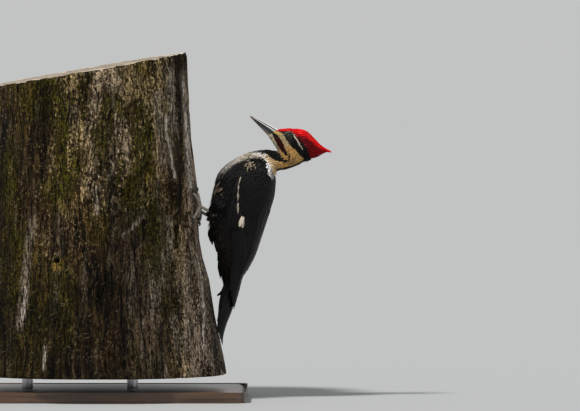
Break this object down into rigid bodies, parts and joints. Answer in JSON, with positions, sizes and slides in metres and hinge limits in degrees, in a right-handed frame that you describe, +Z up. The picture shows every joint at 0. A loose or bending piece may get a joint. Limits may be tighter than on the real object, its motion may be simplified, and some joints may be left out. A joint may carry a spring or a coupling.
{
  "type": "woodpecker",
  "caption": "A still, life-size male woodpecker with a red crest, clinging upright to a short weathered trunk on a plain stand, its head turned up and back and its tail propped on the wood.",
  "frame": {"origin": "the middle of the stand's underside", "axes": "+Z up; +X from the trunk towards the bird's back; +Y towards the bird's right side, so its left side and the camera are at -Y"},
  "size_m": [0.675, 0.4066, 0.5608],
  "materials": {
    "plumage": "soft overlapping body feathers, sooty black with white, buff and dark red markings",
    "wing": "folded flight and tail feathers, sooty black with dark shafts",
    "crest": "long silky scarlet crest feathers",
    "bill": "satin horn, slate grey, paler below",
    "eye": "glossy eye with a dull yellow iris",
    "leg": "scaled grey skin",
    "claw": "smooth dark horn",
    "post": "weathered, fissured trunk without bark",
    "board": "satin varnish, dark brown",
    "rod": "brushed"
  },
  "bodies": {
    "root": {"bill_lower": "bill", "bill_upper": "bill", "claw_left_1": "claw", "claw_left_2": "claw", "claw_left_3": "claw", "claw_left_4": "claw", "claw_right_1": "claw", "claw_right_2": "claw", "claw_right_3": "claw", "claw_right_4": "claw", "crest": "crest", "eye_left": "eye", "eye_right": "eye", "head": "plumage", "neck": "plumage", "perch_post": "post", "shank_left": "leg", "shank_right": "leg", "stand_board": "board", "stand_rod_1": "rod", "stand_rod_2": "rod", "tail": "wing", "thigh_left": "plumage", "thigh_right": "plumage", "toe_left_1": "leg", "toe_left_2": "leg", "toe_left_3": "leg", "toe_left_4": "leg", "toe_right_1": "leg", "toe_right_2": "leg", "toe_right_3": "leg", "toe_right_4": "leg", "torso": "plumage", "wing_left_coverts": "wing", "wing_left_primaries": "wing", "wing_left_secondaries": "wing", "wing_right_coverts": "wing", "wing_right_primaries": "wing", "wing_right_secondaries": "wing"}
  },
  "joints": []
}
